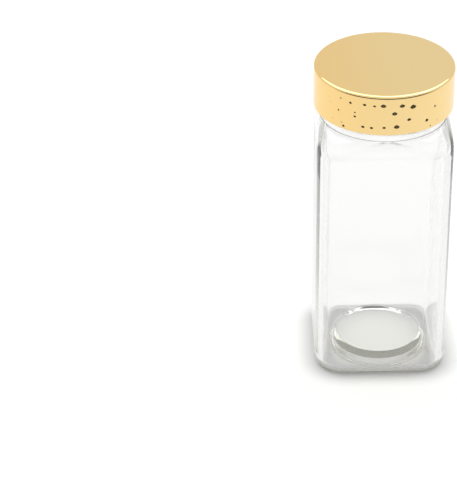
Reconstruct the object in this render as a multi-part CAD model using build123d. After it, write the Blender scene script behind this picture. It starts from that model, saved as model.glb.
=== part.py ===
from build123d import *
import math
import os

# A square glass spice jar with a round screw neck, a shaker insert and a two-part screw cap.
# It stands on z = 0 with its four flat sides square to X and Y. All lengths are in millimetres.

# Neck of the glass jar
neck_root_radius = 19.7
neck_wall = 2.9
neck_height = 13.2
bead_depth = 1.3
bead_height = 2.2
bead_round = 0.9
bead_foot_round = 0.4
rim_step = 1.2
rim_height = 1.9
rim_round = 0.6

# Screw thread shared by the neck and the cap
thread_lead = 4.233
thread_depth = 1.2
thread_turns = 1.3
thread_start_rise = 4.3
thread_radial_gap = 0.35
thread_crest_gap = 0.35
neck_ridge_width_share = 0.62
cap_ridge_width_share = 0.36
ridge_root = 0.3
ridge_sections_per_turn = 16
ridge_fade_sections = 4
ridge_tip_share = 0.08

# Square body of the glass jar
shoulder_ledge = 1.25
corner_radius = 9.5
body_wall = 2.6
straight_height = 82.8
shoulder_height = 8.3
shoulder_sweep_degrees = 62
shoulder_steps = 5
shoulder_top_flat = 0.1
shoulder_bury = 0.3
heel_radius = 3.0

# Base of the glass jar
base_thickness = 4.4
floor_round = 2.6
floor_crown = 0.3
punt_radius = 15.4
punt_wall_run = 0.3
punt_wall_rise = 2.2
punt_crown = 0.3
punt_edge_round = 0.5

# Shaker insert
lip_setback = 0.1
lip_thickness = 1.2
lip_round = 0.9
insert_gap = 0.2
plug_wall = 1.0
plug_depth = 4.0
plug_round = 0.4
plate_recess = 1.3
plate_thickness = 1.0
hole_radius = 1.6
hole_ring_radius = 9.5
hole_ring_count = 6

# Seal wad
wad_thickness = 1.0
wad_gap = 0.3
wad_round = 0.2

# Threaded inner cap and the metal skin over it
cap_height = 13.8
liner_top_thickness = 1.3
liner_wall = 1.3
liner_inset = 0.3
liner_mouth_round = 0.4
skin_thickness = 0.4
skin_gap = 0.05
skin_edge_round = 0.9
skin_lip_round = 0.15

# One overrun for every cut that passes right through
overrun = 1.0

# Radii that follow
bore_radius = neck_root_radius - neck_wall
bead_radius = neck_root_radius + bead_depth
rim_radius = neck_root_radius - rim_step
lip_radius = neck_root_radius - lip_setback
plug_radius = bore_radius - insert_gap
dish_radius = plug_radius - plug_wall
liner_bore_radius = neck_root_radius + thread_depth + thread_radial_gap
liner_radius = liner_bore_radius + liner_wall
skin_bore_radius = liner_radius + skin_gap
cap_radius = skin_bore_radius + skin_thickness
wad_radius = liner_bore_radius - wad_gap
body_half = bead_radius + shoulder_ledge
cavity_half = body_half - body_wall
cavity_corner_radius = corner_radius - body_wall

# Heights that follow, from the table up
shoulder_top = straight_height + shoulder_height
cavity_top = shoulder_top - body_wall
bead_top = shoulder_top + bead_height
rim_top = shoulder_top + neck_height
rim_bottom = rim_top - rim_height
insert_top = rim_top + lip_thickness
plate_top = insert_top - plate_recess
plate_bottom = plate_top - plate_thickness
wad_top = insert_top + wad_thickness
liner_top = wad_top + liner_top_thickness
cap_top = liner_top + skin_thickness
cap_bottom = cap_top - cap_height
liner_bottom = cap_bottom + liner_inset

# Thread ridges that follow: the ridge in the cap runs midway between the turns of the ridge on the neck
neck_ridge_width = neck_ridge_width_share * thread_lead
cap_ridge_width = cap_ridge_width_share * thread_lead
cap_ridge_depth = liner_bore_radius - neck_root_radius - thread_crest_gap
neck_ridge_start = shoulder_top + thread_start_rise
cap_ridge_start = liner_bottom + liner_mouth_round + cap_ridge_width / 2
cap_ridge_turn = (cap_ridge_start - neck_ridge_start + thread_lead / 2) / thread_lead


def turned(corners):
    """Solid of revolution about Z from corners given as radius, height and rounding."""
    points = [(radius, height) for radius, height, rounding in corners]
    roundings = [rounding for radius, height, rounding in corners]
    outline = FilletPolyline(*points, radius=roundings, close=True)
    return revolve(Plane.XZ * make_face(outline), Axis.Z)


def dome(radius, height, crown):
    """Shallow spherical cap that stands on a height."""
    ball_radius = (radius**2 + crown**2) / (2 * crown)
    spread = math.degrees(math.asin(radius / ball_radius))
    top = (0, height + crown)
    foot = (0, height)
    arc = CenterArc((0, height + crown - ball_radius), ball_radius, 90 - spread, spread)
    outline = Curve() + [arc, Line(top, foot), Line(foot, (radius, height))]
    return revolve(Plane.XZ * make_face(outline), Axis.Z)


def square_section(half, corner, height):
    """Flat square with rounded corners at a height."""
    return Pos(0, 0, height) * RectangleRounded(2 * half, 2 * half, corner)


def shoulder(half, corner, low, neck_radius, high):
    """Loft that curves in from the square body and ends a little inside the round neck."""
    top_half = neck_radius - shoulder_bury - shoulder_top_flat * (math.sqrt(2) - 1)
    top_corner = top_half - shoulder_top_flat
    sweep = math.radians(shoulder_sweep_degrees)
    sections = []
    for step in range(shoulder_steps + 1):
        angle = sweep * step / shoulder_steps
        rise = math.sin(angle) / math.sin(sweep)
        draw = (1 - math.cos(angle)) / (1 - math.cos(sweep))
        section_half = half + (top_half - half) * draw
        section_corner = corner + (top_corner - corner) * draw
        sections.append(square_section(section_half, section_corner, low + (high - low) * rise))
    return loft(sections)


def ridge_section(root_radius, inward, depth, width, turn, height):
    """Upright slice through a thread ridge: a round crest whose foot is buried in the wall."""
    angle = 2 * math.pi * turn
    out = (math.cos(angle), math.sin(angle), 0)
    back = (math.sin(angle), -math.cos(angle), 0)
    origin = (root_radius * out[0], root_radius * out[1], height)
    side = -1 if inward else 1
    low = (-side * ridge_root, -width / 2)
    high = (-side * ridge_root, width / 2)
    crest = ThreePointArc(low, (side * depth, 0), high)
    return Plane(origin, x_dir=out, z_dir=back) * make_face(Curve() + [crest, Line(high, low)])


def thread_ridge(root_radius, inward, depth, width, start_turn, start_height):
    """Right-handed screw ridge that fades into the wall at both ends."""
    last = round(thread_turns * ridge_sections_per_turn)
    sections = []
    for step in range(last + 1):
        nearness = min(step, last - step, ridge_fade_sections) / ridge_fade_sections
        fade = ridge_tip_share + (1 - ridge_tip_share) * nearness
        turn = step / ridge_sections_per_turn
        section_width = width * (1 + fade) / 2
        height = start_height + thread_lead * turn
        section = ridge_section(root_radius, inward, depth * fade, section_width, start_turn + turn, height)
        sections.append(section)
    return loft(sections)


def glass_jar():
    """Square body, shoulder, beaded and threaded neck, cavity and pushed-up base."""
    body = extrude(square_section(body_half, corner_radius, 0), straight_height)
    body = fillet(body.edges().group_by(Axis.Z)[0], heel_radius)
    body += shoulder(body_half, corner_radius, straight_height, bead_radius, shoulder_top)
    body += turned([
        (0, straight_height, 0),
        (bead_radius, straight_height, 0),
        (bead_radius, bead_top, bead_round),
        (neck_root_radius, bead_top, bead_foot_round),
        (neck_root_radius, rim_bottom, 0),
        (rim_radius, rim_bottom, 0),
        (rim_radius, rim_top, rim_round),
        (0, rim_top, 0),
    ])
    body += thread_ridge(neck_root_radius, False, thread_depth, neck_ridge_width, 0, neck_ridge_start)
    cavity = extrude(
        square_section(cavity_half, cavity_corner_radius, base_thickness), straight_height - base_thickness
    )
    cavity = fillet(cavity.edges().group_by(Axis.Z)[0], floor_round)
    cavity -= dome(cavity_half - floor_round, base_thickness, floor_crown)
    cavity += shoulder(cavity_half, cavity_corner_radius, straight_height, bore_radius, cavity_top)
    cavity += turned([
        (0, straight_height, 0),
        (bore_radius, straight_height, 0),
        (bore_radius, rim_top - rim_round, rim_round),
        (bore_radius + rim_round, rim_top, 0),
        (bore_radius + rim_round, rim_top + overrun, 0),
        (0, rim_top + overrun, 0),
    ])
    punt = turned([
        (0, -overrun, 0),
        (punt_radius, -overrun, 0),
        (punt_radius, 0, 0),
        (punt_radius - punt_wall_run, punt_wall_rise, punt_edge_round),
        (0, punt_wall_rise, 0),
    ])
    punt += dome(punt_radius - punt_wall_run - punt_edge_round, punt_wall_rise, punt_crown)
    return body - cavity - punt


def shaker_insert():
    """Sifter that snaps over the stepped rim and plugs the bore, with a dished plate full of holes."""
    insert = turned([
        (0, plate_bottom, 0),
        (dish_radius, plate_bottom, 0),
        (dish_radius, rim_top - plug_depth, 0),
        (plug_radius, rim_top - plug_depth, plug_round),
        (plug_radius, rim_top, 0),
        (rim_radius + insert_gap, rim_top, 0),
        (rim_radius + insert_gap, rim_bottom + insert_gap, 0),
        (lip_radius, rim_bottom + insert_gap, 0),
        (lip_radius, insert_top, lip_round),
        (plug_radius, insert_top, plug_round),
        (dish_radius, plate_top, plug_round),
        (0, plate_top, 0),
    ])
    hole = Pos(0, 0, plate_bottom - overrun) * Cylinder(
        hole_radius, plate_thickness + 2 * overrun, align=(Align.CENTER, Align.CENTER, Align.MIN)
    )
    insert -= hole
    insert -= PolarLocations(hole_ring_radius, hole_ring_count) * hole
    return insert


def seal_wad():
    """Soft disc between the insert and the inner cap."""
    return turned([
        (0, insert_top, 0),
        (wad_radius, insert_top, wad_round),
        (wad_radius, wad_top, wad_round),
        (0, wad_top, 0),
    ])


def cap_liner():
    """Inner cap with the screw ridge that runs on the neck."""
    corner_round = skin_edge_round - skin_thickness + skin_gap
    liner = turned([
        (0, wad_top, 0),
        (liner_bore_radius, wad_top, 0),
        (liner_bore_radius, liner_bottom, liner_mouth_round),
        (liner_radius, liner_bottom, 0),
        (liner_radius, liner_top, corner_round),
        (0, liner_top, 0),
    ])
    return liner + thread_ridge(
        liner_bore_radius, True, cap_ridge_depth, cap_ridge_width, cap_ridge_turn, cap_ridge_start
    )


def cap_shell():
    """Thin metal skin with a flat top and a smooth skirt."""
    return turned([
        (0, liner_top, 0),
        (skin_bore_radius, liner_top, skin_edge_round - skin_thickness),
        (skin_bore_radius, cap_bottom, skin_lip_round),
        (cap_radius, cap_bottom, skin_lip_round),
        (cap_radius, cap_top, skin_edge_round),
        (0, cap_top, 0),
    ])


os.makedirs("parts", exist_ok=True)
export_step(glass_jar(), "parts/glass_jar.step")
export_step(shaker_insert(), "parts/shaker_insert.step")
export_step(seal_wad(), "parts/seal_wad.step")
export_step(cap_liner(), "parts/cap_liner.step")
export_step(cap_shell(), "parts/cap_shell.step")
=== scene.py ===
import math

import bpy
from mathutils import Matrix, Vector


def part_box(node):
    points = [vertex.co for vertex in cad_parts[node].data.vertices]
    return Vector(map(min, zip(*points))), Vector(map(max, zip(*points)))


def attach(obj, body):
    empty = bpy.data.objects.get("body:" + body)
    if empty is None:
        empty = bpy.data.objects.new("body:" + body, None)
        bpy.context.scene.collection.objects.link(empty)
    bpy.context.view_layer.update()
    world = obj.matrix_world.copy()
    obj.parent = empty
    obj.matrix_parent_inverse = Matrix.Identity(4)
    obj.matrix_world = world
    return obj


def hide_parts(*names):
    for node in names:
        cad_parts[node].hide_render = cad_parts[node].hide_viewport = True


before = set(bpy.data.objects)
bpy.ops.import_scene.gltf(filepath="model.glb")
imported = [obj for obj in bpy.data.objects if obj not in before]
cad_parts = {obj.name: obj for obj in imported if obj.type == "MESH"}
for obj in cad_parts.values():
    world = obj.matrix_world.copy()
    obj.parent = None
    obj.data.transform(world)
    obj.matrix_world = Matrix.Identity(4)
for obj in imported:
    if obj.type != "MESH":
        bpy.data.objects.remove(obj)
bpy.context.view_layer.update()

# Units
MM = 0.001

# Camera, as the photograph was taken: lens in millimetres on a 36 mm sensor, places in metres
SENSOR_WIDTH = 36.0
LENS = 151.08
CAMERA_PLACE = (-0.0543, -0.60345, 0.4253)
CAMERA_YAW = math.radians(-0.27)
CAMERA_PITCH_DOWN = math.radians(32.73)
CAMERA_ROLL = math.radians(-0.86)

# Sizes that come from the frame
_, jar_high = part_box("glass_jar")
shell_low, shell_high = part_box("cap_shell")
liner_low, liner_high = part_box("cap_liner")
_, insert_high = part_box("shaker_insert")
wad_low, wad_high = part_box("seal_wad")
BODY_HALF = jar_high.x
RIM_TOP = jar_high.z
CAP_RADIUS = shell_high.x
CAP_TOP = shell_high.z
CAP_BOTTOM = shell_low.z
LINER_RADIUS = liner_high.x
LINER_TOP = liner_high.z
LINER_BOTTOM = liner_low.z
LIP_RADIUS = insert_high.x
LIP_TOP = insert_high.z
WAD_RADIUS = wad_high.x
WAD_TOP = wad_high.z
WAD_BOTTOM = wad_low.z

# Square glass body
CORNER_RADIUS = 9.5 * MM
BODY_WALL = 2.6 * MM
STRAIGHT_TOP = 82.8 * MM
SHOULDER_TOP = RIM_TOP - 13.2 * MM
SHOULDER_SWEEP = math.radians(62)
HEEL_RADIUS = 3.0 * MM

# Inside floor of the jar: a round plateau with a moat around it, heights from the table up
MOAT_HEIGHT = 1.0 * MM
MOAT_ROUND = 1.7 * MM
PLATEAU_RADIUS = 14.2 * MM
PLATEAU_HEIGHT = 5.0 * MM
PLATEAU_CROWN = 0.3 * MM
PLATEAU_EDGE_ROUND = 0.45

# Round push-up under the base
PUNT_RADIUS = 15.4 * MM
PUNT_WALL_RUN = 0.3 * MM
PUNT_WALL_RISE = 2.2 * MM
PUNT_CROWN = 0.3 * MM
PUNT_ROUND = 0.5 * MM

# Glass neck
BEAD_RADIUS = 21.0 * MM
BEAD_TOP = SHOULDER_TOP + 2.2 * MM
BEAD_ROUND = 0.9 * MM
NECK_RADIUS = 19.7 * MM
NECK_WALL = 2.9 * MM
NECK_FOOT_ROUND = 0.4 * MM
RIM_STEP = 1.2 * MM
RIM_BOTTOM = RIM_TOP - 1.9 * MM
RIM_ROUND = 0.6 * MM
BORE_RADIUS = NECK_RADIUS - NECK_WALL

# Screw ridge on the neck; the reach is half of its foot as a share of its width
THREAD_LEAD = 4.233 * MM
THREAD_DEPTH = 1.2 * MM
THREAD_WIDTH = 2.624 * MM
THREAD_REACH_SHARE = 0.6
THREAD_TURNS = 1.3
THREAD_START = SHOULDER_TOP + 4.3 * MM
THREAD_FADE_TURNS = 0.25

# Shaker insert
INSERT_GAP = 0.2 * MM
PLUG_RADIUS = BORE_RADIUS - INSERT_GAP
PLUG_DEPTH = 4.0 * MM
PLUG_ROUND = 0.4 * MM
DISH_RADIUS = PLUG_RADIUS - 1.0 * MM
PLATE_TOP = LIP_TOP - 1.3 * MM
PLATE_THICKNESS = 1.0 * MM
PLATE_BOTTOM = PLATE_TOP - PLATE_THICKNESS
LIP_ROUND = 0.9 * MM
LIP_SEAT = RIM_BOTTOM + INSERT_GAP
LIP_SEAT_RADIUS = NECK_RADIUS - RIM_STEP + INSERT_GAP
HOLE_RADIUS = 1.6 * MM
HOLE_RING_RADIUS = 9.5 * MM
HOLE_RING_COUNT = 6

# Wad, inner cap and metal skin
WAD_ROUND = 0.2 * MM
LINER_WALL = 1.3 * MM
LINER_BORE_RADIUS = LINER_RADIUS - LINER_WALL
LINER_MOUTH_ROUND = 0.4 * MM
SKIN_THICKNESS = 0.4 * MM
SKIN_ROUND = 0.9 * MM
SKIN_LIP_ROUND = SKIN_THICKNESS / 3

# Screw ridge in the inner cap, and how deep its foot is buried in the wall
CAP_RIDGE_DEPTH = 1.2 * MM
CAP_RIDGE_WIDTH = 1.524 * MM
CAP_RIDGE_START = 95.862 * MM
CAP_RIDGE_TURN = 0.6091
RIDGE_BURY = 0.4 * MM
RIDGE_TIP_SHARE = 0.08

# Small pits in the cap's skirt: degrees from the front, millimetres under the top, and
# relative size; a pit is deepest a little above its mark, by this share of its half height
PIT_HALF_WIDTH = 1.2 * MM
PIT_HALF_HEIGHT = 1.2 * MM
PIT_DEPTH = 0.33 * MM
PIT_LIFT = 0.5
PITS = (
    (-53, 4.5, 0.5), (-41, 3.0, 0.5), (-32, 3.6, 0.65), (-20, 3.3, 0.65), (-12, 3.4, 0.55),
    (-5, 3.2, 0.95), (10, 3.4, 0.95), (19, 4.2, 1.15), (40, 6.4, 0.8), (48, 7.9, 0.45),
    (-52, 6.1, 0.45), (-43, 7.6, 0.65), (-28, 6.7, 0.45), (-28, 8.1, 0.6), (4, 6.0, 0.95),
    (16, 8.6, 0.8), (-49, 11.5, 0.5), (-40, 11.6, 0.45), (-38, 12.7, 0.75), (-21, 10.2, 0.4),
    (-21, 11.3, 0.7), (-14, 11.3, 0.65), (-4, 11.0, 0.65), (6, 10.8, 1.05), (32, 10.4, 0.9),
    (36, 12.9, 0.5), (43, 11.8, 0.5),
)

# Glass: its bend, its tint through the thickness, and the reflections after which light leaves it
GLASS_IOR = 1.52
GLASS_TINT = (0.55, 0.57, 0.45, 1)
GLASS_DENSITY = 6.0
INNER_BOUNCES = 3

# Grey of the light that leaves the glass in that way, by share of the rim's height
FREED_BY_HEIGHT = (
    (0.0, 0.9), (0.15, 0.82), (0.33, 0.55), (0.55, 0.4),
    (0.66, 0.36), (0.685, 0.1), (0.765, 0.1), (0.8, 0.85),
)

# Share of lamplight that one glass surface lets through: at the foot's edge, on the bearing
# ring, in the middle and at the edge of the push-up, and on the walls
EDGE_SHADE = 0.05
RING_SHADE = 0.5
PUNT_SHADE = 0.56
PUNT_EDGE_SHADE = 0.25
WALL_SHADE = 0.98
EDGE_WIDTH = 3.4 * MM
RING_EDGE_WIDTH = 0.5 * MM
SHADE_HEIGHT = 8.0 * MM
SHADE_WARMTH = 0.96

# Painted shade: the glass is greyed along the thin crease where the shoulder meets the bead,
# and round the steep rim of the plateau
CREASE_SHADE_WIDTH = 0.16 * MM
CREASE_SHADE_GREY = 0.35
RIM_SHADE_RADIUS = 15.2 * MM
RIM_SHADE_WIDTH = 1.4 * MM
RIM_SHADE_GREY = 0.72

# Gold of the cap, and the warmer gold of its left, with places as shares of the cap's radius
GOLD_COLOUR = (0.98, 0.735, 0.345, 1)
WARM_GOLD_COLOUR = (1.0, 0.7, 0.29, 1)
WARM_FROM = 0.5
WARM_FULL = -0.9
WARM_UNEVENNESS = 0.4
WARM_PATCH_SCALE = 30.0

# Plastics by slot: name, colour, roughness where polished and where handled, ripples, clearness
PLASTIC_IOR = 1.49
PLASTICS = {
    "white_plastic": ("white plastic", (0.88, 0.88, 0.86, 1), 0.3, 0.42, 120.0, 0.0),
    "frosted_plastic": ("frosted plastic", (0.92, 0.93, 0.93, 1), 0.42, 0.55, 160.0, 0.45),
    "wad": ("wad foam", (0.85, 0.85, 0.83, 1), 0.6, 0.75, 900.0, 0.0),
}

# Noise at which handling marks begin and are full
MARKS_FROM = 0.45
MARKS_FULL = 0.75

# Floor: its colour and glow, and the shadows close to the object
FLOOR_REACH = 4.0
FLOOR_DROP = 0.05 * MM
FLOOR_COLOUR = 0.85
FLOOR_GLOW = 0.34
FLOOR_CAMERA_GLOW = 0.12
CONTACT_REACH = 7.5 * MM
CONTACT_POWER = 1.6
RING_REACH = 0.5 * MM
RING_GLOW_SHARE = 0.7

# Dark far floor in front, which only mirrors see
DARK_FLOOR_FROM = 0.32
DARK_FLOOR_FULL = 0.46
DARK_FLOOR_SHARE = 0.93

# Lamp and surroundings, whose low front is dark to mirrors
LAMP_WIDTH = 2.4
LAMP_DEPTH = 1.2
LAMP_PLACE = (0.0, 0.5, 1.3)
LAMP_RADIANCE = 1.85
ROUND_LIGHT = 0.3
BACK_RADIANCE = 1.0
FRONT_RADIANCE = 0.15
FRONT_FROM = -0.2
FRONT_FULL = -0.6
LOW_FROM = 0.35
LOW_FULL = 0.15

# Mesh fineness; the holds are short straight rows that keep the shading of a bend in its place
SHARP_ANGLE = math.radians(40)
ARC_STEPS = 6
HOLD = 0.12 * MM
LATHE_COLUMNS = 192
QUADRANT_COLUMNS = 72
CORNER_CROWDING = 0.7
WALL_ROWS = 24
WALL_HOLD = 0.004
SHOULDER_ROWS = 16
SHOULDER_HOLD = 0.015
THREAD_ROW_STEP = 0.22 * MM
FLAT_ROWS = 6
DOME_ROWS = 8
PLATEAU_ROWS = 14
SKIRT_ROW_STEP = 0.13 * MM
RIDGE_POINTS_PER_TURN = 64
RIDGE_SLICE_POINTS = 16
HOLE_SIDES = 48

# Columns of the cap's skin: many where the pits are, up to these degrees from the front
PITTED_REACH = 58
PITTED_COLUMNS = 300
PLAIN_COLUMNS = 160


def put_in_scene(name, data):
    """New object in the scene that shows this data."""
    thing = bpy.data.objects.new(name, data)
    bpy.context.scene.collection.objects.link(thing)
    return thing


def camera_like_the_photograph():
    """Camera at the photograph's place, angle and framing."""
    data = bpy.data.cameras.new("camera")
    data.sensor_width = SENSOR_WIDTH
    data.lens = LENS
    camera = put_in_scene("camera", data)
    yaw = Matrix.Rotation(CAMERA_YAW, 4, "Z")
    pitch = Matrix.Rotation(math.radians(90) - CAMERA_PITCH_DOWN, 4, "X")
    roll = Matrix.Rotation(CAMERA_ROLL, 4, "Z")
    camera.matrix_world = Matrix.Translation(CAMERA_PLACE) @ yaw @ pitch @ roll
    bpy.context.scene.camera = camera


class Nodes:
    """A short way to add nodes to a tree and wire them up."""

    def __init__(self, tree):
        self.tree = tree

    def add(self, kind, values=None, **settings):
        node = self.tree.nodes.new(kind)
        for name, value in settings.items():
            setattr(node, name, value)
        for key, value in (values or {}).items():
            if isinstance(value, bpy.types.NodeSocket):
                self.tree.links.new(value, node.inputs[key])
            else:
                node.inputs[key].default_value = value
        return node

    def math(self, operation, first, second=0.0):
        return self.add("ShaderNodeMath", {0: first, 1: second}, operation=operation).outputs[0]

    def product(self, first, *others):
        for other in others:
            first = self.math("MULTIPLY", first, other)
        return first

    def remap(self, value, start, end, start_value=0.0, end_value=1.0, blend="LINEAR"):
        """Value that goes from the start value to the end value and holds at both."""
        return self.add("ShaderNodeMapRange", {
            "Value": value,
            "From Min": start,
            "From Max": end,
            "To Min": start_value,
            "To Max": end_value,
        }, interpolation_type=blend).outputs[0]

    def object_place(self):
        return self.add("ShaderNodeTexCoord").outputs["Object"]

    def axes(self, vector):
        return self.add("ShaderNodeSeparateXYZ", {0: vector}).outputs

    def power_sum(self, place, power):
        """Sum of a place's X and Y, each raised to a power."""
        across = self.math("POWER", place["X"], power)
        along = self.math("POWER", place["Y"], power)
        return self.math("ADD", across, along)

    def from_axis(self, place):
        """Distance of a place from the upright axis."""
        return self.math("SQRT", self.power_sum(place, 2.0))

    def from_axis_squarely(self, place):
        """Distance from the upright axis that is the same all along a square with soft corners."""
        return self.math("POWER", self.power_sum(place, 4.0), 1 / 4)


def new_material(name):
    """Empty node material and the helper that fills it."""
    material = bpy.data.materials.new(name)
    material.use_nodes = True
    material.node_tree.nodes.clear()
    return material, Nodes(material.node_tree)


def rounded(corners):
    """Profile points from corners given as radius, height and rounding, with holds beside arcs."""
    points = [Vector(corners[0][:2])]
    for before, corner, after in zip(corners, corners[1:], corners[2:]):
        here = Vector(corner[:2])
        rounding = corner[2]
        back = (Vector(before[:2]) - here).normalized()
        ahead = (Vector(after[:2]) - here).normalized()
        if rounding == 0:
            points += [here + back * HOLD, here, here + ahead * HOLD]
            continue
        half_angle = back.angle(ahead) / 2
        reach = rounding / math.tan(half_angle)
        centre = here + (back + ahead).normalized() * rounding / math.sin(half_angle)
        start = here + back * reach - centre
        turn = start.angle_signed(here + ahead * reach - centre)
        points.append(here + back * (reach + HOLD))
        for step in range(ARC_STEPS + 1):
            points.append(centre + Matrix.Rotation(-turn * step / ARC_STEPS, 2) @ start)
        points.append(here + ahead * (reach + HOLD))
    points.append(Vector(corners[-1][:2]))
    return points


def shade(mesh):
    """Shade a mesh smooth between its sharp edges."""
    mesh.shade_smooth()
    mesh.set_sharp_from_angle(angle=SHARP_ANGLE)


def closed_mesh(name, first_pole, rows, last_pole):
    """Closed mesh from rows of points that run from one point on the axis to another."""
    count = len(rows[0])
    vertices = [first_pole] + [point for row in rows for point in row] + [last_pole]
    last = len(vertices) - 1
    faces = []
    for column in range(count):
        beside = (column + 1) % count
        faces.append((0, 1 + beside, 1 + column))
        for row in range(len(rows) - 1):
            low = 1 + row * count
            high = low + count
            faces.append((low + column, low + beside, high + beside, high + column))
        top = 1 + (len(rows) - 1) * count
        faces.append((top + column, top + beside, last))
    mesh = bpy.data.meshes.new(name)
    mesh.from_pydata(vertices, [], faces)
    shade(mesh)
    return put_in_scene(name, mesh)


def even_angles():
    """Polar angles of a plain lathed piece's mesh columns."""
    return [2 * math.pi * column / LATHE_COLUMNS for column in range(LATHE_COLUMNS)]


def lathed(name, profile, angles=None, dent=None):
    """Solid of revolution from profile points that start and end on the axis, dented if asked."""
    angles = angles or even_angles()
    rows = []
    for radius, height in profile[1:-1]:
        row = []
        for angle in angles:
            reach = radius - dent(radius, angle, height) if dent else radius
            row.append((reach * math.cos(angle), reach * math.sin(angle), height))
        rows.append(row)
    return closed_mesh(name, (0, 0, profile[0][1]), rows, (0, 0, profile[-1][1]))


# Shapes that repeat or follow a path, made by geometry trees


def new_shape_tree(name, inputs):
    """Geometry tree with a geometry input and output and the named inputs."""
    tree = bpy.data.node_groups.new(name, "GeometryNodeTree")
    tree.interface.new_socket("Geometry", in_out="INPUT", socket_type="NodeSocketGeometry")
    for label, kind in inputs:
        tree.interface.new_socket(label, in_out="INPUT", socket_type="NodeSocket" + kind)
    tree.interface.new_socket("Geometry", in_out="OUTPUT", socket_type="NodeSocketGeometry")
    nodes = Nodes(tree)
    return tree, nodes, nodes.add("NodeGroupInput").outputs


def end_shape_tree(nodes, shape, finish):
    """Last nodes of every geometry tree."""
    real = nodes.add("GeometryNodeRealizeInstances", {"Geometry": shape}).outputs[0]
    painted = nodes.add("GeometryNodeSetMaterial", {"Geometry": real, "Material": finish})
    nodes.add("NodeGroupOutput", {"Geometry": painted.outputs[0]})


def shape_by(tree, piece, values):
    """Run a geometry tree on a piece with these inputs and keep the result as its mesh."""
    modifier = piece.modifiers.new(tree.name, "NODES")
    modifier.node_group = tree
    for item in tree.interface.items_tree:
        if item.item_type == "SOCKET" and item.in_out == "INPUT" and item.name in values:
            modifier[item.identifier] = values[item.name]
    seen = piece.evaluated_get(bpy.context.evaluated_depsgraph_get())
    mesh = bpy.data.meshes.new_from_object(seen)
    piece.modifiers.remove(modifier)
    piece.data = mesh
    shade(mesh)
    return piece


def screw_ridge_tree():
    """Geometry tree that adds a right-handed screw ridge inside a round wall, faded at its ends."""
    tree, nodes, given = new_shape_tree("screw ridge", (
        ("Wall Radius", "Float"),
        ("Start Height", "Float"),
        ("Start Angle", "Float"),
        ("Turns", "Float"),
        ("Lead", "Float"),
        ("Depth", "Float"),
        ("Width", "Float"),
        ("Finish", "Material"),
    ))
    line = nodes.add("GeometryNodeCurveSpiral", {
        "Resolution": RIDGE_POINTS_PER_TURN,
        "Rotations": given["Turns"],
        "Start Radius": given["Wall Radius"],
        "End Radius": given["Wall Radius"],
        "Height": nodes.product(given["Turns"], given["Lead"]),
        "Reverse": True,
    }).outputs[0]
    line = nodes.add("GeometryNodeSetPosition", {
        "Geometry": line,
        "Position": nodes.add("ShaderNodeVectorRotate", {
            "Vector": nodes.add("GeometryNodeInputPosition").outputs[0],
            "Angle": given["Start Angle"],
        }, rotation_type="Z_AXIS").outputs[0],
        "Offset": nodes.add("ShaderNodeCombineXYZ", {"Z": given["Start Height"]}).outputs[0],
    }).outputs[0]
    line = nodes.add("GeometryNodeSetCurveNormal", {"Curve": line}, mode="Z_UP").outputs[0]
    along = nodes.add("GeometryNodeSplineParameter").outputs["Factor"]
    from_end = nodes.math("MINIMUM", along, nodes.math("SUBTRACT", 1.0, along))
    from_end = nodes.product(from_end, given["Turns"])
    fade = nodes.remap(from_end, 0.0, THREAD_FADE_TURNS, RIDGE_TIP_SHARE)
    reach = nodes.product(nodes.math("ADD", given["Depth"], RIDGE_BURY), 0.5)
    inward = nodes.product(nodes.math("SUBTRACT", RIDGE_BURY, given["Depth"]), 0.5)
    half_width = nodes.product(given["Width"], 0.5)
    circle = nodes.add("GeometryNodeCurvePrimitiveCircle", {
        "Resolution": RIDGE_SLICE_POINTS,
        "Radius": 1.0,
    }).outputs[0]
    cut = nodes.add("GeometryNodeTransform", {
        "Geometry": circle,
        "Translation": nodes.add("ShaderNodeCombineXYZ", {"X": inward}).outputs[0],
        "Scale": nodes.add("ShaderNodeCombineXYZ", {
            "X": reach,
            "Y": half_width,
            "Z": 1.0,
        }).outputs[0],
    }).outputs[0]
    ridge = nodes.add("GeometryNodeCurveToMesh", {
        "Curve": line,
        "Profile Curve": cut,
        "Scale": fade,
        "Fill Caps": True,
    }).outputs[0]
    both = nodes.add("GeometryNodeJoinGeometry", {"Geometry": given["Geometry"]})
    tree.links.new(ridge, both.inputs[0])
    end_shape_tree(nodes, both.outputs[0], given["Finish"])
    return tree


def round_holes_tree():
    """Geometry tree that drills one round hole on the axis and a ring of them around it."""
    tree, nodes, given = new_shape_tree("round holes", (
        ("Hole Radius", "Float"),
        ("Ring Radius", "Float"),
        ("Ring Count", "Int"),
        ("Plate Middle", "Float"),
        ("Drill Length", "Float"),
        ("Finish", "Material"),
    ))
    ring = nodes.add("GeometryNodeMeshCircle", {
        "Vertices": given["Ring Count"],
        "Radius": given["Ring Radius"],
    }).outputs[0]
    places = nodes.add("GeometryNodeJoinGeometry", {"Geometry": ring})
    tree.links.new(nodes.add("GeometryNodePoints", {"Count": 1}).outputs[0], places.inputs[0])
    drill = nodes.add("GeometryNodeMeshCylinder", {
        "Vertices": HOLE_SIDES,
        "Radius": given["Hole Radius"],
        "Depth": given["Drill Length"],
    }).outputs["Mesh"]
    lift = nodes.add("ShaderNodeCombineXYZ", {"Z": given["Plate Middle"]}).outputs[0]
    drill = nodes.add("GeometryNodeSetPosition", {"Geometry": drill, "Offset": lift}).outputs[0]
    drills = nodes.add("GeometryNodeInstanceOnPoints", {
        "Points": places.outputs[0],
        "Instance": drill,
    }).outputs[0]
    drills = nodes.add("GeometryNodeRealizeInstances", {"Geometry": drills}).outputs[0]
    cut = nodes.add("GeometryNodeMeshBoolean", {
        "Mesh 1": given["Geometry"],
        "Mesh 2": drills,
    }, operation="DIFFERENCE", solver="EXACT").outputs["Mesh"]
    end_shape_tree(nodes, cut, given["Finish"])
    return tree


# Glass jar


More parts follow.
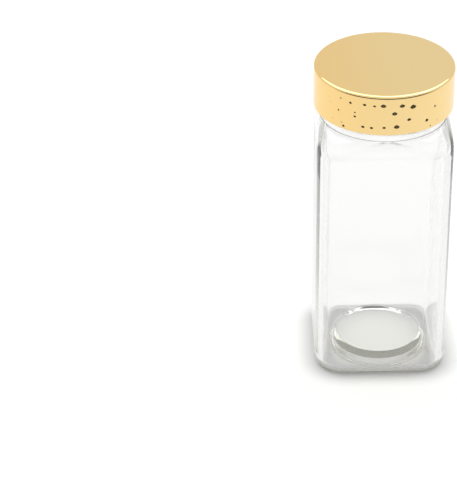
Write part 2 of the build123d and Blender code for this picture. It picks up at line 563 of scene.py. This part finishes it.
def column_angles():
    """Polar angles of the jar's mesh columns, crowded towards the four corners."""
    angles = []
    for quadrant in range(4):
        for step in range(QUADRANT_COLUMNS):
            share = 2 * step / QUADRANT_COLUMNS - 1
            crowded = math.sin(share * math.pi / 2)
            bent = (1 - CORNER_CROWDING) * share + CORNER_CROWDING * crowded
            angles.append(math.radians(90 * quadrant + 45 * bent))
    return angles


def reach_at(angle, half, corner):
    """Distance from the axis to a square with rounded corners, at a polar angle."""
    folded = abs((angle + math.pi / 4) % (math.pi / 2) - math.pi / 4)
    inner = half - corner
    if half * math.tan(folded) <= inner:
        return half / math.cos(folded)
    along = inner * (math.cos(folded) + math.sin(folded))
    return along + math.sqrt(corner ** 2 - inner ** 2 * (1 - math.sin(2 * folded)))


def thread_reach(angle, height):
    """How far the screw ridge stands out of the neck at a polar angle and height."""
    turn = (angle % (2 * math.pi)) / (2 * math.pi)
    reach = 0
    while turn <= THREAD_TURNS:
        nearness = min(turn, THREAD_TURNS - turn, THREAD_FADE_TURNS) / THREAD_FADE_TURNS
        rise = height - THREAD_START - THREAD_LEAD * turn
        offset = rise / (THREAD_REACH_SHARE * THREAD_WIDTH)
        if abs(offset) < 1:
            reach += THREAD_DEPTH * nearness * math.cos(offset * math.pi / 2) ** 2
        turn += 1
    return reach


def spread(count):
    """Shares from just above 0 to 1."""
    return [(step + 1) / count for step in range(count)]


def round_rows(corners):
    """Rows where the jar is round, from corners given as radius, height and rounding."""
    return [(radius, radius, height) for radius, height in rounded(corners)]


def foot_rows():
    """Rows from the middle of the push-up over the bearing ring and round the heel."""
    rows = round_rows([
        (0, PUNT_WALL_RISE + PUNT_CROWN, 0),
        (PUNT_RADIUS - PUNT_WALL_RUN, PUNT_WALL_RISE, PUNT_ROUND),
        (PUNT_RADIUS, 0, PUNT_ROUND),
        (PUNT_RADIUS + PUNT_ROUND, 0, 0),
    ])[1:]
    foot_half = BODY_HALF - HEEL_RADIUS
    foot_corner = CORNER_RADIUS - HEEL_RADIUS
    ring = rows[-1][0]
    for share in spread(FLAT_ROWS):
        rows.append((ring + (foot_half - ring) * share, ring + (foot_corner - ring) * share, 0))
    for share in spread(2 * ARC_STEPS):
        turn = share * math.pi / 2
        out = HEEL_RADIUS * math.sin(turn)
        rows.append((foot_half + out, foot_corner + out, HEEL_RADIUS * (1 - math.cos(turn))))
    return rows


def shoulder_rows(half, corner, neck_radius, top):
    """Rows that curve in from the square wall to the round neck."""
    rows = []
    for share in spread(SHOULDER_ROWS)[:-1] + [1 - SHOULDER_HOLD, 1]:
        angle = SHOULDER_SWEEP * share
        rise = math.sin(angle) / math.sin(SHOULDER_SWEEP)
        draw = (1 - math.cos(angle)) / (1 - math.cos(SHOULDER_SWEEP))
        row_half = half + (neck_radius - half) * draw
        row_corner = corner + (neck_radius - corner) * draw
        rows.append((row_half, row_corner, STRAIGHT_TOP + (top - STRAIGHT_TOP) * rise))
    return rows


def neck_rows():
    """Rows up the bead and the neck, over the stepped rim and down the bore."""
    rows = round_rows([
        (BEAD_RADIUS, SHOULDER_TOP, 0),
        (BEAD_RADIUS, SHOULDER_TOP + HOLD, 0),
        (BEAD_RADIUS, BEAD_TOP, BEAD_ROUND),
        (NECK_RADIUS, BEAD_TOP, NECK_FOOT_ROUND),
        (NECK_RADIUS, BEAD_TOP + 3 * NECK_FOOT_ROUND, 0),
    ])[1:-1]
    height = rows[-1][2] + THREAD_ROW_STEP
    while height < RIM_BOTTOM - THREAD_ROW_STEP:
        rows.append((NECK_RADIUS, NECK_RADIUS, height))
        height += THREAD_ROW_STEP
    return rows + round_rows([
        (NECK_RADIUS, RIM_BOTTOM - 2 * HOLD, 0),
        (NECK_RADIUS, RIM_BOTTOM, 0),
        (NECK_RADIUS - RIM_STEP, RIM_BOTTOM, 0),
        (NECK_RADIUS - RIM_STEP, RIM_TOP, RIM_ROUND),
        (BORE_RADIUS, RIM_TOP, RIM_ROUND),
        (BORE_RADIUS, SHOULDER_TOP, 0),
    ])[1:]


def cavity_rows():
    """Rows down the inner shoulder and walls, round the moat and over the domed plateau."""
    half = BODY_HALF - BODY_WALL
    corner = CORNER_RADIUS - BODY_WALL
    rows = shoulder_rows(half, corner, BORE_RADIUS, SHOULDER_TOP - BODY_WALL)[::-1]
    wall_foot = MOAT_HEIGHT + MOAT_ROUND
    for share in [0] + spread(WALL_ROWS) + [1]:
        rows.append((half, corner, STRAIGHT_TOP + (wall_foot - STRAIGHT_TOP) * share))
    rows[-2] = (half, corner, wall_foot + HOLD)
    for share in spread(2 * ARC_STEPS):
        turn = share * math.pi / 2
        inset = MOAT_ROUND * (1 - math.cos(turn))
        rows.append((half - inset, corner - inset, wall_foot - MOAT_ROUND * math.sin(turn)))
    moat_half, moat_corner, moat_height = rows[-1]
    for share in spread(FLAT_ROWS):
        rows.append((moat_half, moat_corner + (moat_half - moat_corner) * share, moat_height))
    for share in spread(PLATEAU_ROWS):
        radius = moat_half + (PLATEAU_RADIUS - moat_half) * share
        rise = share + PLATEAU_EDGE_ROUND * ((1 - math.cos(math.pi * share)) / 2 - share)
        rows.append((radius, radius, moat_height + (PLATEAU_HEIGHT - moat_height) * rise))
    for share in spread(DOME_ROWS)[:-1]:
        radius = PLATEAU_RADIUS * (1 - share)
        rows.append((radius, radius, PLATEAU_HEIGHT + PLATEAU_CROWN * (1 - (1 - share) ** 2)))
    return rows


def jar_rows():
    """Rows of the jar as half width, corner radius and height, from under the base to the floor."""
    rows = foot_rows()
    for share in [WALL_HOLD] + spread(WALL_ROWS):
        height = HEEL_RADIUS + (STRAIGHT_TOP - HEEL_RADIUS) * share
        rows.append((BODY_HALF, CORNER_RADIUS, height))
    rows += shoulder_rows(BODY_HALF, CORNER_RADIUS, BEAD_RADIUS, SHOULDER_TOP)
    return rows + neck_rows() + cavity_rows()


def make_glass_jar():
    """The whole jar as one closed mesh, screw ridge included."""
    angles = column_angles()
    rows = []
    for half, corner, height in jar_rows():
        on_neck = half == NECK_RADIUS and corner == NECK_RADIUS
        row = []
        for angle in angles:
            reach = reach_at(angle, half, corner)
            if on_neck:
                reach += thread_reach(angle, height)
            row.append((reach * math.cos(angle), reach * math.sin(angle), height))
        rows.append(row)
    base = (0, 0, PUNT_WALL_RISE + PUNT_CROWN)
    floor = (0, 0, PLATEAU_HEIGHT + PLATEAU_CROWN)
    return closed_mesh("jar_glass", base, rows, floor)


# Cap, wad and insert


def skirt_angles():
    """Polar angles of the cap skin's mesh columns, close together where the skirt has its pits."""
    step = 2 * PITTED_REACH / PITTED_COLUMNS
    angles = [-90 - PITTED_REACH + step * column for column in range(PITTED_COLUMNS)]
    step = (360 - 2 * PITTED_REACH) / PLAIN_COLUMNS
    angles += [-90 + PITTED_REACH + step * column for column in range(PLAIN_COLUMNS)]
    return [math.radians(angle) for angle in angles]


def with_skirt_rows(profile):
    """Profile with close rows up the outer face of the skirt."""
    fuller = []
    for here, ahead in zip(profile, profile[1:]):
        fuller.append(here)
        count = int((ahead.y - here.y) / SKIRT_ROW_STEP)
        if count > 1 and here.x > CAP_RADIUS - SKIN_THICKNESS / 2:
            fuller += [here.lerp(ahead, step / count) for step in range(1, count)]
    return fuller + [profile[-1]]


def pit_depth(radius, angle, height):
    """How deep the skirt is pitted at a polar angle and height of its outer face."""
    depth = 0
    if radius < CAP_RADIUS - SKIN_THICKNESS / 2:
        return depth
    for from_front, below_top, size in PITS:
        up = (height - CAP_TOP + below_top * MM) / (size * PIT_HALF_HEIGHT) - PIT_LIFT
        if abs(up) < 1:
            turn = math.remainder(angle - math.radians(from_front - 90), 2 * math.pi)
            nearness = 1 - math.hypot(up, CAP_RADIUS * turn / (size * PIT_HALF_WIDTH))
            depth = max(depth, size * PIT_DEPTH * nearness)
    return depth


def make_cap_skin():
    """Thin metal skin of the cap, with its pitted skirt."""
    inner = CAP_RADIUS - SKIN_THICKNESS
    profile = rounded([
        (0, LINER_TOP, 0),
        (inner, LINER_TOP, SKIN_ROUND - SKIN_THICKNESS),
        (inner, CAP_BOTTOM, SKIN_LIP_ROUND),
        (CAP_RADIUS, CAP_BOTTOM, SKIN_LIP_ROUND),
        (CAP_RADIUS, CAP_TOP, SKIN_ROUND),
        (0, CAP_TOP, 0),
    ])
    return lathed("cap_skin", with_skirt_rows(profile), skirt_angles(), pit_depth)


def make_cap_liner(finish):
    """White inner cap with its screw ridge."""
    plain = lathed("cap_inner", rounded([
        (0, WAD_TOP, 0),
        (LINER_BORE_RADIUS, WAD_TOP, 0),
        (LINER_BORE_RADIUS, LINER_BOTTOM, LINER_MOUTH_ROUND),
        (LINER_RADIUS, LINER_BOTTOM, 0),
        (LINER_RADIUS, LINER_TOP, SKIN_ROUND - SKIN_THICKNESS),
        (0, LINER_TOP, 0),
    ]))
    return shape_by(screw_ridge_tree(), plain, {
        "Wall Radius": LINER_BORE_RADIUS,
        "Start Height": CAP_RIDGE_START,
        "Start Angle": 2 * math.pi * CAP_RIDGE_TURN,
        "Turns": THREAD_TURNS,
        "Lead": THREAD_LEAD,
        "Depth": CAP_RIDGE_DEPTH,
        "Width": CAP_RIDGE_WIDTH,
        "Finish": finish,
    })


def make_wad():
    """Soft sealing disc."""
    return lathed("cap_wad", rounded([
        (0, WAD_BOTTOM, 0),
        (WAD_RADIUS, WAD_BOTTOM, WAD_ROUND),
        (WAD_RADIUS, WAD_TOP, WAD_ROUND),
        (0, WAD_TOP, 0),
    ]))


def make_insert(finish):
    """Shaker insert with the holes in its plate."""
    plain = lathed("insert_sifter", rounded([
        (0, PLATE_BOTTOM, 0),
        (DISH_RADIUS, PLATE_BOTTOM, 0),
        (DISH_RADIUS, RIM_TOP - PLUG_DEPTH, 0),
        (PLUG_RADIUS, RIM_TOP - PLUG_DEPTH, PLUG_ROUND),
        (PLUG_RADIUS, RIM_TOP, 0),
        (LIP_SEAT_RADIUS, RIM_TOP, 0),
        (LIP_SEAT_RADIUS, LIP_SEAT, 0),
        (LIP_RADIUS, LIP_SEAT, 0),
        (LIP_RADIUS, LIP_TOP, LIP_ROUND),
        (PLUG_RADIUS, LIP_TOP, PLUG_ROUND),
        (DISH_RADIUS, PLATE_TOP, PLUG_ROUND),
        (0, PLATE_TOP, 0),
    ]))
    return shape_by(round_holes_tree(), plain, {
        "Hole Radius": HOLE_RADIUS,
        "Ring Radius": HOLE_RING_RADIUS,
        "Ring Count": HOLE_RING_COUNT,
        "Plate Middle": PLATE_TOP - PLATE_THICKNESS / 2,
        "Drill Length": 3 * PLATE_THICKNESS,
        "Finish": finish,
    })


# Finishes


def new_effect(name, inputs, output):
    """Shared shader effect with number inputs and their usual values, and one number output."""
    tree = bpy.data.node_groups.new(name, "ShaderNodeTree")
    for label, value in inputs:
        socket = tree.interface.new_socket(label, in_out="INPUT", socket_type="NodeSocketFloat")
        socket.default_value = value
    tree.interface.new_socket(output, in_out="OUTPUT", socket_type="NodeSocketFloat")
    nodes = Nodes(tree)
    return tree, nodes, nodes.add("NodeGroupInput").outputs


def handling_marks_group():
    """Soft patches of slightly rougher surface, as left by handling."""
    tree, nodes, given = new_effect("handling marks", (
        ("Patch Scale", 60.0),
        ("Polished", 0.05),
        ("Smudged", 0.15),
    ), "Roughness")
    noise = nodes.add("ShaderNodeTexNoise", {
        "Vector": nodes.object_place(),
        "Scale": given["Patch Scale"],
        "Detail": 3.0,
    }).outputs["Fac"]
    rough = nodes.remap(noise, MARKS_FROM, MARKS_FULL, given["Polished"], given["Smudged"])
    nodes.add("NodeGroupOutput", {"Roughness": rough})
    return tree


def moulded_ripple_group():
    """The slow unevenness of a moulded or pressed surface."""
    tree, nodes, given = new_effect("moulded ripple", (
        ("Ripple Scale", 40.0),
        ("Stretch Up", 0.3),
    ), "Height")
    stretch = nodes.add("ShaderNodeCombineXYZ", {"X": 1.0, "Y": 1.0, "Z": given["Stretch Up"]})
    squeezed = nodes.add("ShaderNodeVectorMath", {
        0: nodes.object_place(),
        1: stretch.outputs[0],
    }, operation="MULTIPLY").outputs[0]
    noise = nodes.add("ShaderNodeTexNoise", {
        "Vector": squeezed,
        "Scale": given["Ripple Scale"],
        "Detail": 1.0,
    }).outputs["Fac"]
    nodes.add("NodeGroupOutput", {"Height": noise})
    return tree


handling_marks = handling_marks_group()
moulded_ripple = moulded_ripple_group()


def marked_roughness(nodes, patch_scale, polished, smudged):
    """Roughness of a surface with handling marks."""
    return nodes.add("ShaderNodeGroup", {
        "Patch Scale": patch_scale,
        "Polished": polished,
        "Smudged": smudged,
    }, node_tree=handling_marks).outputs[0]


def rippled_normal(nodes, ripple_scale, stretch_up, depth, strength):
    """Normal of a surface with moulded ripples."""
    ripple = nodes.add("ShaderNodeGroup", {
        "Ripple Scale": ripple_scale,
        "Stretch Up": stretch_up,
    }, node_tree=moulded_ripple).outputs[0]
    return nodes.add("ShaderNodeBump", {
        "Height": ripple,
        "Distance": depth,
        "Strength": strength,
    }).outputs["Normal"]


def lamplight_share(nodes):
    """Share of lamplight that the glass lets through: little at its foot, most on the walls."""
    place = nodes.axes(nodes.object_place())
    out = nodes.from_axis(place)
    foot = nodes.remap(
        out, PUNT_RADIUS / 2, PUNT_RADIUS, PUNT_SHADE, PUNT_EDGE_SHADE, "SMOOTHSTEP"
    )
    foot = nodes.remap(
        out, PUNT_RADIUS, PUNT_RADIUS + RING_EDGE_WIDTH, foot, RING_SHADE, "SMOOTHSTEP"
    )
    out = nodes.from_axis_squarely(place)
    edge = BODY_HALF - HEEL_RADIUS - EDGE_WIDTH
    foot = nodes.remap(out, edge, edge + EDGE_WIDTH / 2, foot, EDGE_SHADE, "SMOOTHSTEP")
    return nodes.remap(place["Z"], 0.0, SHADE_HEIGHT, foot, WALL_SHADE, "SMOOTHSTEP")


def freed_light(nodes):
    """Grey of the light that leaves the glass after many reflections, dark at the shoulder."""
    height = nodes.axes(nodes.object_place())["Z"]
    ramp = nodes.add("ShaderNodeValToRGB", {"Fac": nodes.math("DIVIDE", height, RIM_TOP)})
    stops = ramp.color_ramp.elements
    stops[0].position = FREED_BY_HEIGHT[0][0]
    stops[-1].position = FREED_BY_HEIGHT[-1][0]
    for share, _ in FREED_BY_HEIGHT[1:-1]:
        stops.new(share)
    for stop, (_, grey) in zip(stops, FREED_BY_HEIGHT):
        stop.color = (grey, grey, SHADE_WARMTH * grey, 1)
    return ramp.outputs["Color"]


def crease_painted_shade(nodes):
    """Painted shade: grey in the glass along the thin crease where the shoulder meets the bead."""
    height = nodes.axes(nodes.object_place())["Z"]
    aside = nodes.math("ABSOLUTE", nodes.math("SUBTRACT", height, SHOULDER_TOP))
    return nodes.remap(aside, CREASE_SHADE_WIDTH / 2, CREASE_SHADE_WIDTH, CREASE_SHADE_GREY)


def rim_painted_shade(nodes):
    """Painted shade: grey in the glass round the plateau's steep rim and the hollow under it."""
    place = nodes.axes(nodes.object_place())
    aside = nodes.math("SUBTRACT", nodes.from_axis(place), RIM_SHADE_RADIUS)
    aside = nodes.math("ABSOLUTE", aside)
    painted_shade = nodes.remap(aside, RIM_SHADE_WIDTH / 2, RIM_SHADE_WIDTH, 1.0 - RIM_SHADE_GREY, 0.0)
    low = nodes.math("LESS_THAN", place["Z"], PLATEAU_HEIGHT + PLATEAU_CROWN)
    return nodes.math("SUBTRACT", 1.0, nodes.product(painted_shade, low))


def clear_glass():
    """Clear soda-lime glass that lets lamps shine through."""
    material, nodes = new_material("clear glass")
    # The base colour carries painted shade along the neck's crease and round the plateau's rim
    glass = nodes.add("ShaderNodeBsdfPrincipled", {
        "Base Color": nodes.product(crease_painted_shade(nodes), rim_painted_shade(nodes)),
        "Roughness": marked_roughness(nodes, patch_scale=45.0, polished=0.0, smudged=0.02),
        "IOR": GLASS_IOR,
        "Transmission Weight": 1.0,
        "Normal": rippled_normal(
            nodes, ripple_scale=70.0, stretch_up=0.35, depth=0.1 * MM, strength=0.35
        ),
    })
    share = lamplight_share(nodes)
    warm = nodes.product(share, SHADE_WARMTH)
    colour = nodes.add("ShaderNodeCombineColor", {0: share, 1: share, 2: warm})
    passing = nodes.add("ShaderNodeBsdfTransparent", {"Color": colour.outputs[0]})
    rays = nodes.add("ShaderNodeLightPath").outputs
    lamplit = nodes.add("ShaderNodeMixShader", {
        0: rays["Is Shadow Ray"],
        1: glass.outputs[0],
        2: passing.outputs[0],
    })
    freed = nodes.add("ShaderNodeBsdfTransparent", {"Color": freed_light(nodes)})
    surface = nodes.add("ShaderNodeMixShader", {
        0: nodes.math("GREATER_THAN", rays["Glossy Depth"], INNER_BOUNCES - 0.5),
        1: lamplit.outputs[0],
        2: freed.outputs[0],
    })
    depth = nodes.add("ShaderNodeVolumeAbsorption", {
        "Color": GLASS_TINT,
        "Density": GLASS_DENSITY,
    })
    nodes.add("ShaderNodeOutputMaterial", {
        "Surface": surface.outputs[0],
        "Volume": depth.outputs[0],
    })
    return material


def gold_metal():
    """Polished gold-coloured metal, warmer towards the left."""
    material, nodes = new_material("gold metal")
    place = nodes.object_place()
    cloud = nodes.add("ShaderNodeTexNoise", {
        "Vector": place,
        "Scale": WARM_PATCH_SCALE,
        "Detail": 1.0,
    }).outputs["Fac"]
    uneven = nodes.product(cloud, WARM_UNEVENNESS * CAP_RADIUS)
    across = nodes.math("ADD", nodes.axes(place)["X"], uneven)
    colour = nodes.add("ShaderNodeMix", {
        0: nodes.remap(
            across, WARM_FROM * CAP_RADIUS, WARM_FULL * CAP_RADIUS, blend="SMOOTHSTEP"
        ),
        6: GOLD_COLOUR,
        7: WARM_GOLD_COLOUR,
    }, data_type="RGBA").outputs[2]
    metal = nodes.add("ShaderNodeBsdfPrincipled", {
        "Base Color": colour,
        "Metallic": 1.0,
        "Roughness": marked_roughness(nodes, patch_scale=90.0, polished=0.06, smudged=0.13),
        "Normal": rippled_normal(
            nodes, ripple_scale=55.0, stretch_up=1.0, depth=0.05 * MM, strength=0.2
        ),
    })
    nodes.add("ShaderNodeOutputMaterial", {"Surface": metal.outputs[0]})
    return material


def moulded_plastic(name, colour, polished, smudged, ripple_scale, clearness):
    """White or frosted moulded plastic."""
    material, nodes = new_material(name)
    plastic = nodes.add("ShaderNodeBsdfPrincipled", {
        "Base Color": colour,
        "Roughness": marked_roughness(
            nodes, patch_scale=70.0, polished=polished, smudged=smudged
        ),
        "IOR": PLASTIC_IOR,
        "Transmission Weight": clearness,
        "Normal": rippled_normal(
            nodes, ripple_scale, stretch_up=1.0, depth=0.05 * MM, strength=0.3
        ),
    })
    nodes.add("ShaderNodeOutputMaterial", {"Surface": plastic.outputs[0]})
    return material


# Studio


def floor_material():
    """Pale floor with the object's shadow, and dark far in front where only mirrors look."""
    material, nodes = new_material("studio floor")
    rays = nodes.add("ShaderNodeLightPath").outputs
    seen = nodes.math("MAXIMUM", rays["Is Camera Ray"], rays["Is Glossy Ray"])
    seen = nodes.math("MAXIMUM", seen, rays["Is Transmission Ray"])
    place = nodes.axes(nodes.object_place())
    far = nodes.remap(nodes.from_axis(place), DARK_FLOOR_FROM, DARK_FLOOR_FULL)
    ahead = nodes.remap(place["Y"], 0.0, -DARK_FLOOR_FROM)
    dark = nodes.product(far, ahead, rays["Is Glossy Ray"], DARK_FLOOR_SHARE)
    near = nodes.math("SUBTRACT", 1.0, dark)
    matt = nodes.add("ShaderNodeBsdfDiffuse", {"Color": nodes.product(near, FLOOR_COLOUR)})
    around = nodes.add("ShaderNodeAmbientOcclusion", {"Distance": CONTACT_REACH}).outputs["AO"]
    under = nodes.add("ShaderNodeAmbientOcclusion", {"Distance": RING_REACH}).outputs["AO"]
    under = nodes.remap(under, 0.0, 1.0, RING_GLOW_SHARE)
    plain = nodes.product(seen, FLOOR_GLOW, under, near)
    contact = nodes.math("POWER", around, CONTACT_POWER)
    direct = nodes.product(contact, FLOOR_GLOW + FLOOR_CAMERA_GLOW)
    glow = nodes.add("ShaderNodeMix", {0: rays["Is Camera Ray"], 2: plain, 3: direct}).outputs[0]
    glow = nodes.add("ShaderNodeEmission", {"Strength": glow})
    both = nodes.add("ShaderNodeAddShader", {0: matt.outputs[0], 1: glow.outputs[0]})
    nodes.add("ShaderNodeOutputMaterial", {"Surface": both.outputs[0]})
    return material


def make_floor():
    """Wide floor a hair under the object."""
    mesh = bpy.data.meshes.new("floor")
    corners = [
        (x * FLOOR_REACH, y * FLOOR_REACH, -FLOOR_DROP)
        for x, y in ((-1, -1), (1, -1), (1, 1), (-1, 1))
    ]
    mesh.from_pydata(corners, [], [(0, 1, 2, 3)])
    mesh.materials.append(floor_material())
    put_in_scene("floor", mesh)


def make_world():
    """Studio round the object: white for the camera, dark low in front for mirrors."""
    world = bpy.data.worlds.new("studio")
    bpy.context.scene.world = world
    world.use_nodes = True
    world.node_tree.nodes.clear()
    nodes = Nodes(world.node_tree)
    way = nodes.axes(nodes.add("ShaderNodeTexCoord").outputs["Generated"])
    front = nodes.remap(way["Y"], FRONT_FROM, FRONT_FULL, blend="SMOOTHSTEP")
    low = nodes.remap(way["Z"], LOW_FROM, LOW_FULL, blend="SMOOTHSTEP")
    dark = nodes.product(front, low, BACK_RADIANCE - FRONT_RADIANCE)
    mirrored = nodes.math("SUBTRACT", BACK_RADIANCE, dark)
    rays = nodes.add("ShaderNodeLightPath").outputs
    shiny = nodes.math("MAXIMUM", rays["Is Glossy Ray"], rays["Is Transmission Ray"])
    shiny = nodes.product(shiny, nodes.math("LESS_THAN", rays["Diffuse Depth"], 0.5))
    around = nodes.add("ShaderNodeMix", {
        0: rays["Is Glossy Ray"],
        2: BACK_RADIANCE,
        3: mirrored,
    }).outputs[0]
    lit = nodes.add("ShaderNodeMix", {0: shiny, 2: ROUND_LIGHT, 3: around}).outputs[0]
    strength = nodes.add("ShaderNodeMix", {0: rays["Is Camera Ray"], 2: lit, 3: 1.0}).outputs[0]
    background = nodes.add("ShaderNodeBackground", {"Strength": strength})
    nodes.add("ShaderNodeOutputWorld", {"Surface": background.outputs[0]})


def soft_lamp():
    """Broad soft lamp above and a little behind the jar."""
    data = bpy.data.lights.new("overhead lamp", "AREA")
    data.shape = "RECTANGLE"
    data.size = LAMP_WIDTH
    data.size_y = LAMP_DEPTH
    data.energy = math.pi * LAMP_WIDTH * LAMP_DEPTH * LAMP_RADIANCE
    lamp = put_in_scene("overhead lamp", data)
    lamp.location = LAMP_PLACE
    lamp.visible_transmission = False
    aim = Vector((0, 0, CAP_TOP / 2)) - Vector(LAMP_PLACE)
    lamp.rotation_euler = aim.to_track_quat("-Z", "Y").to_euler()


camera_like_the_photograph()
make_world()
make_floor()
soft_lamp()
bpy.context.scene.view_settings.view_transform = "Standard"

finishes = {slot: moulded_plastic(*values) for slot, values in PLASTICS.items()}
finishes["glass"] = clear_glass()
finishes["gold_metal"] = gold_metal()

for piece, body, node, slot in (
    (make_glass_jar(), "jar", "glass_jar", "glass"),
    (make_cap_skin(), "cap", "cap_shell", "gold_metal"),
    (make_cap_liner(finishes["white_plastic"]), "cap", "cap_liner", "white_plastic"),
    (make_wad(), "wad", "seal_wad", "wad"),
    (make_insert(finishes["frosted_plastic"]), "insert", "shaker_insert", "frosted_plastic"),
):
    piece.data.materials.clear()
    piece.data.materials.append(finishes[slot])
    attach(piece, body)
    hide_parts(node)
